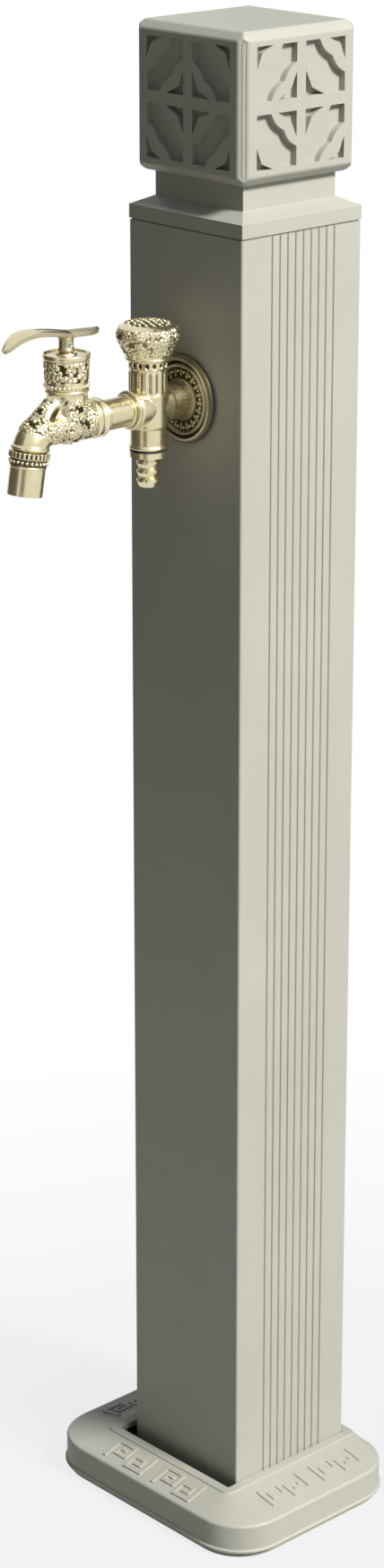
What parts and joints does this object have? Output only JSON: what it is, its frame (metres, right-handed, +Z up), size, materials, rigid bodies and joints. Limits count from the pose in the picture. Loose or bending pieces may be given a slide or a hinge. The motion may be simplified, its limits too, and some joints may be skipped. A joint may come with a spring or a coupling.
{
  "type": "garden standpipe",
  "caption": "Square fluted post with a lattice cap and a loose base cover, carrying a brass garden tap with a hand wheel valve to a hose tail and a lever valve to a spout.",
  "frame": {"origin": "on the post axis at ground level, in the middle of the anchor holes", "axes": "+Z up along the post, -Y toward the tap, X across the tap"},
  "size_m": [0.1944, 0.2584, 0.989],
  "materials": {
    "coat": "satin warm grey powder coat",
    "gold_brass": "polished antique pale gold",
    "plain_brass": "as machined",
    "steel": "zinc plated or stainless",
    "rubber": "matt",
    "ceramic": "lapped",
    "plastic": "moulded"
  },
  "bodies": {
    "column": {"ground_plate": "steel", "post_screws": "steel", "post": "coat", "base_cover": "coat", "cap_collar": "coat", "cap_screws": "steel", "cap_block": "coat", "cap_bolt": "steel", "inlet_union_nut": "plain_brass", "inlet_washer": "rubber", "inlet_tail": "plain_brass", "riser_pipe": "steel", "wall_elbow": "plain_brass", "lock_nut": "plain_brass", "lock_washer": "rubber", "flange_gasket": "rubber", "flange": "gold_brass", "angle_body": "gold_brass", "hose_tail": "gold_brass", "hose_tail_washer": "rubber", "wheel_bonnet": "gold_brass", "wheel_bonnet_seal": "rubber", "wheel_seat_seal": "rubber", "wheel_fixed_disc": "ceramic", "extension_arm": "gold_brass", "arm_seals": "rubber", "bib_body": "gold_brass", "lever_bonnet": "gold_brass", "lever_bonnet_seal": "rubber", "lever_seat_seal": "rubber", "lever_fixed_disc": "ceramic", "nozzle_washer": "rubber", "nozzle_sleeve": "gold_brass", "nozzle_ring": "gold_brass", "aerator_insert": "plastic"},
    "wheel_handle": {"hand_wheel": "gold_brass", "hand_wheel_screw": "steel", "wheel_crown": "gold_brass", "wheel_spindle": "plain_brass", "wheel_spindle_oring": "rubber", "wheel_moving_disc": "ceramic"},
    "lever_handle": {"lever": "gold_brass", "lever_set_screw": "steel", "lever_spindle": "plain_brass", "lever_spindle_oring": "rubber", "lever_moving_disc": "ceramic"}
  },
  "joints": [
    {"name": "hand_wheel_turn", "type": "hinge", "parent": "column", "child": "wheel_handle", "pos_m": [0, -0.08, 0.804], "axis": [0, 0, 1], "range_deg": [0, 90]},
    {"name": "lever_turn", "type": "hinge", "parent": "column", "child": "lever_handle", "pos_m": [0, -0.1449, 0.813], "axis": [0, 0, 1], "range_deg": [0, 90]}
  ]
}
